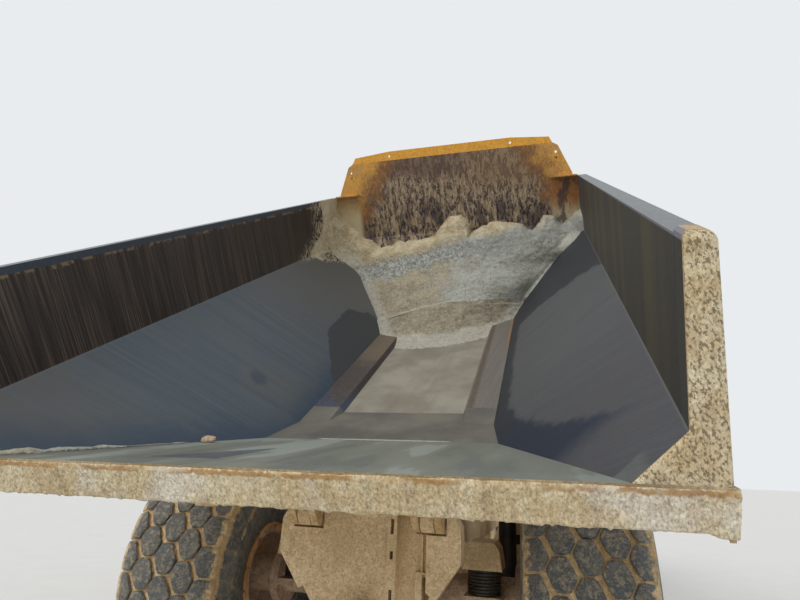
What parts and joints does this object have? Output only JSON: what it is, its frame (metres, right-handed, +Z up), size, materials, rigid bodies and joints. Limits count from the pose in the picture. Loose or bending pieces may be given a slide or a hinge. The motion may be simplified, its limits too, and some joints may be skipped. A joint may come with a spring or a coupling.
{
  "type": "articulated dump truck",
  "caption": "Articulated dump truck with its load body raised, steered at its middle hinge, with a tipping body and turning wheels.",
  "frame": {"origin": "on the ground under the middle of the whole truck's box, with the body raised", "axes": "+Y forwards, +X to the truck's right, +Z up"},
  "size_m": [3.34, 11.9511, 5.566],
  "materials": {
    "caked_steel": "dried mud over worn yellow paint",
    "rubber": "matt, dusty",
    "dark_steel": "dark grey paint, dusty",
    "yellow_paint": "weathered yellow paint",
    "rim_paint": "yellow paint, rusty and muddy",
    "tyre": "worn, with dried mud",
    "glass": "clear",
    "seat_cloth": "woven, dark",
    "lamp": "clear lens",
    "worn_steel": "bare plate, scratched along the load's way",
    "chrome_rod": "polished"
  },
  "bodies": {
    "rear": {"rear_frame": "caked_steel", "axle_middle": "caked_steel", "axle_rear": "caked_steel", "walking_beams": "caked_steel", "rubber_springs": "rubber", "drive_shafts": "dark_steel"},
    "hitch": {"hitch": "dark_steel"},
    "tractor": {"front_frame": "dark_steel", "axle_front": "dark_steel", "front_struts": "dark_steel", "engine": "dark_steel", "bumper": "dark_steel", "fenders": "yellow_paint", "cab_shell": "yellow_paint", "cab_roof": "yellow_paint", "cab_windows": "glass", "seat": "seat_cloth", "controls": "dark_steel", "fuel_tank": "dark_steel", "hydraulic_tank": "yellow_paint", "ladders": "dark_steel", "mirrors": "dark_steel", "exhaust": "dark_steel", "headlamps": "lamp"},
    "hood": {"hood": "yellow_paint", "grille": "dark_steel"},
    "door": {"cab_door": "yellow_paint", "door_glass": "glass"},
    "bed": {"bed_floor": "worn_steel", "bed_side_left": "worn_steel", "bed_side_right": "worn_steel", "bed_tail": "caked_steel", "bed_headboard": "worn_steel", "bed_guard": "yellow_paint", "bed_frame": "dark_steel"},
    "hoist_barrels": {"hoist_barrels": "dark_steel"},
    "hoist_sleeves": {"hoist_sleeves": "worn_steel"},
    "hoist_rods": {"hoist_rods": "chrome_rod"},
    "steer_barrel_left": {"steer_barrel_left": "dark_steel"},
    "steer_barrel_right": {"steer_barrel_right": "dark_steel"},
    "steer_rod_left": {"steer_rod_left": "chrome_rod"},
    "steer_rod_right": {"steer_rod_right": "chrome_rod"},
    "wheel_rear_left": {"tyre_rear_left": "tyre", "rim_rear_left": "rim_paint"},
    "wheel_rear_right": {"tyre_rear_right": "tyre", "rim_rear_right": "rim_paint"},
    "wheel_middle_left": {"tyre_middle_left": "tyre", "rim_middle_left": "rim_paint"},
    "wheel_middle_right": {"tyre_middle_right": "tyre", "rim_middle_right": "rim_paint"},
    "wheel_front_left": {"tyre_front_left": "tyre", "rim_front_left": "rim_paint"},
    "wheel_front_right": {"tyre_front_right": "tyre", "rim_front_right": "rim_paint"}
  },
  "joints": [
    {"name": "tractor_roll", "type": "hinge", "parent": "rear", "child": "hitch", "pos_m": [0, 0.78071, 1.07], "axis": [0, 1, 0], "range_deg": [-12, 12]},
    {"name": "articulation", "type": "hinge", "parent": "hitch", "child": "tractor", "pos_m": [0, 1.38071, 1.07], "axis": [0, 0, 1], "range_deg": [-42, 42]},
    {"name": "bed_tip", "type": "hinge", "parent": "rear", "child": "bed", "pos_m": [0, -4.06929, 1.45], "axis": [1, 0, 0], "range_deg": [-31, 39]},
    {"name": "hoist_swing", "type": "hinge", "parent": "rear", "child": "hoist_barrels", "pos_m": [0, -2.86929, 0.62], "axis": [1, 0, 0], "range_deg": [-15.6, 19.6]},
    {"name": "hoist_sleeve_slide", "type": "slide", "parent": "hoist_barrels", "child": "hoist_sleeves", "axis": [0, 0.0175, 0.9998], "range_m": [-0.315, 0.396]},
    {"name": "hoist_rod_slide", "type": "slide", "parent": "hoist_sleeves", "child": "hoist_rods", "axis": [0, 0.0175, 0.9998], "range_m": [-0.315, 0.396]},
    {"name": "steer_swing_left", "type": "hinge", "parent": "tractor", "child": "steer_barrel_left", "pos_m": [-0.45, 2.43071, 1], "axis": [0, 0, 1], "range_deg": [-2.5, 2.5]},
    {"name": "steer_slide_left", "type": "slide", "parent": "steer_barrel_left", "child": "steer_rod_left", "axis": [0.1038, -0.9946, 0], "range_m": [-0.2335, 0.2335]},
    {"name": "steer_swing_right", "type": "hinge", "parent": "tractor", "child": "steer_barrel_right", "pos_m": [0.45, 2.43071, 1], "axis": [0, 0, 1], "range_deg": [-2.5, 2.5]},
    {"name": "steer_slide_right", "type": "slide", "parent": "steer_barrel_right", "child": "steer_rod_right", "axis": [-0.1038, -0.9946, 0], "range_m": [-0.2335, 0.2335]},
    {"name": "roll_rear_left", "type": "hinge", "parent": "rear", "child": "wheel_rear_left", "pos_m": [-1.28, -3.31929, 0.935], "axis": [1, 0, 0], "continuous": true},
    {"name": "roll_rear_right", "type": "hinge", "parent": "rear", "child": "wheel_rear_right", "pos_m": [1.28, -3.31929, 0.935], "axis": [1, 0, 0], "continuous": true},
    {"name": "roll_middle_left", "type": "hinge", "parent": "rear", "child": "wheel_middle_left", "pos_m": [-1.28, -1.36929, 0.935], "axis": [1, 0, 0], "continuous": true},
    {"name": "roll_middle_right", "type": "hinge", "parent": "rear", "child": "wheel_middle_right", "pos_m": [1.28, -1.36929, 0.935], "axis": [1, 0, 0], "continuous": true},
    {"name": "roll_front_left", "type": "hinge", "parent": "tractor", "child": "wheel_front_left", "pos_m": [-1.28, 3.08071, 0.935], "axis": [1, 0, 0], "continuous": true},
    {"name": "roll_front_right", "type": "hinge", "parent": "tractor", "child": "wheel_front_right", "pos_m": [1.28, 3.08071, 0.935], "axis": [1, 0, 0], "continuous": true},
    {"name": "hood_lift", "type": "hinge", "parent": "tractor", "child": "hood", "pos_m": [0, 5.80071, 1.33], "axis": [-1, 0, 0], "range_deg": [0, 65]},
    {"name": "door_swing", "type": "hinge", "parent": "tractor", "child": "door", "pos_m": [-0.866, 1.82471, 2.7], "axis": [0, 0, 1], "range_deg": [0, 75]}
  ],
  "couplings": [
    {"joint": "hoist_swing", "follows": "bed_tip", "ratio": 0.49914},
    {"joint": "hoist_sleeve_slide", "follows": "bed_tip", "m_per_rad": 0.57978},
    {"joint": "hoist_rod_slide", "follows": "bed_tip", "m_per_rad": 0.57978},
    {"joint": "steer_swing_left", "follows": "articulation", "ratio": -0.053},
    {"joint": "steer_slide_left", "follows": "articulation", "m_per_rad": -0.31765},
    {"joint": "steer_swing_right", "follows": "articulation", "ratio": -0.053},
    {"joint": "steer_slide_right", "follows": "articulation", "m_per_rad": 0.31765}
  ]
}
